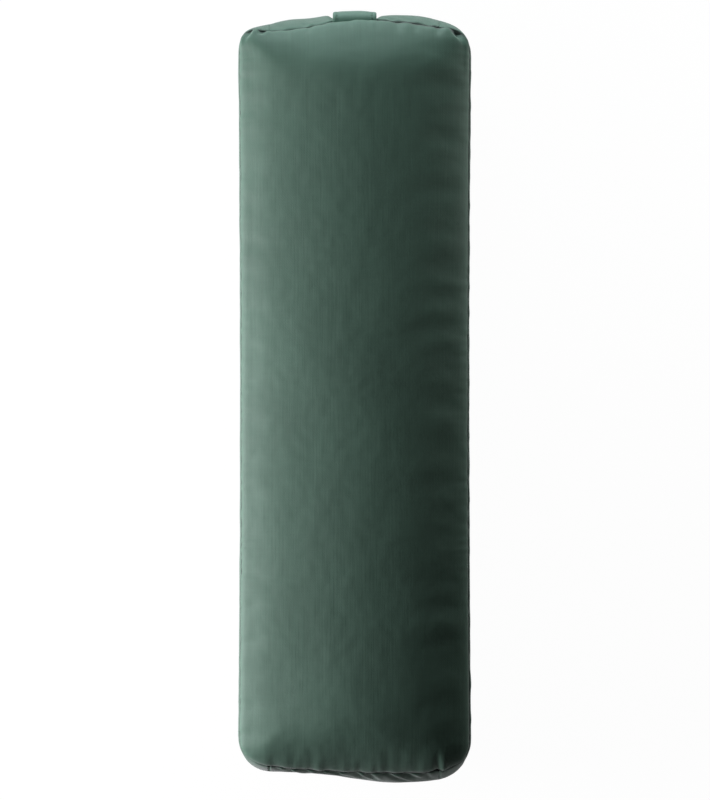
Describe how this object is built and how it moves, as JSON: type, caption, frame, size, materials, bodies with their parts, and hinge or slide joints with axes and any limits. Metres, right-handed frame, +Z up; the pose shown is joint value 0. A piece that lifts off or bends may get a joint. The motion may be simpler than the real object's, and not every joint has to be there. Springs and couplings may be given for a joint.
{
  "type": "yoga bolster",
  "caption": "Long boxed yoga bolster with crowned face and back, boxing bands, a side zip, a sewn end handle and a wrapped foam core.",
  "frame": {"origin": "on the floor under the middle of the whole part, which lies on its back panel", "axes": "+Z up through the face panel, +Y along the bolster towards the carry handle, +X towards the zip side"},
  "size_m": [0.2153, 0.7099, 0.15],
  "materials": {
    "cover_cloth": "matte dark green woven cotton, plain weave",
    "strap_cloth": "the cover's own cloth, doubled and topstitched",
    "webbing": "woven webbing",
    "zip_tape": "woven zip tape",
    "zip_plastic": "moulded zip teeth, satin",
    "zip_metal": "satin nickel",
    "liner_cloth": "undyed calico",
    "wadding": "soft polyester wadding",
    "foam": "open-cell foam"
  },
  "bodies": {
    "cover": {"face_panel": "cover_cloth", "back_panel": "cover_cloth", "side_band_left": "cover_cloth", "side_band_zip_upper": "cover_cloth", "side_band_zip_lower": "cover_cloth", "end_band_handle": "cover_cloth", "end_band_plain": "cover_cloth", "zip_tape_upper": "zip_tape", "zip_tape_lower": "zip_tape", "zip_teeth_upper": "zip_plastic", "zip_teeth_lower": "zip_plastic", "zip_top_stop_upper": "zip_metal", "zip_top_stop_lower": "zip_metal", "zip_bottom_stop": "zip_metal", "inner_liner_upper": "liner_cloth", "inner_liner_lower": "liner_cloth", "wadding_wrap": "wadding", "foam_core": "foam"},
    "zip_slider": {"zip_slider": "zip_metal"},
    "pull_tab": {"zip_pull_tab": "zip_metal"},
    "handle": {"carry_handle": "strap_cloth", "handle_webbing": "webbing"}
  },
  "joints": [
    {"name": "zip_slide", "type": "slide", "parent": "cover", "child": "zip_slider", "axis": [0, 1, 0], "range_m": [0, 0.524], "deforming": ["zip_teeth_upper", "zip_teeth_lower"]},
    {"name": "pull_tab_swing", "type": "hinge", "parent": "zip_slider", "child": "pull_tab", "pos_m": [0.10265, -0.2647, 0.0725], "axis": [0, 0, -1], "range_deg": [0, 170]},
    {"name": "handle_pull", "type": "slide", "parent": "cover", "child": "handle", "axis": [0, 1, 0], "range_m": [0, 0.008]}
  ]
}
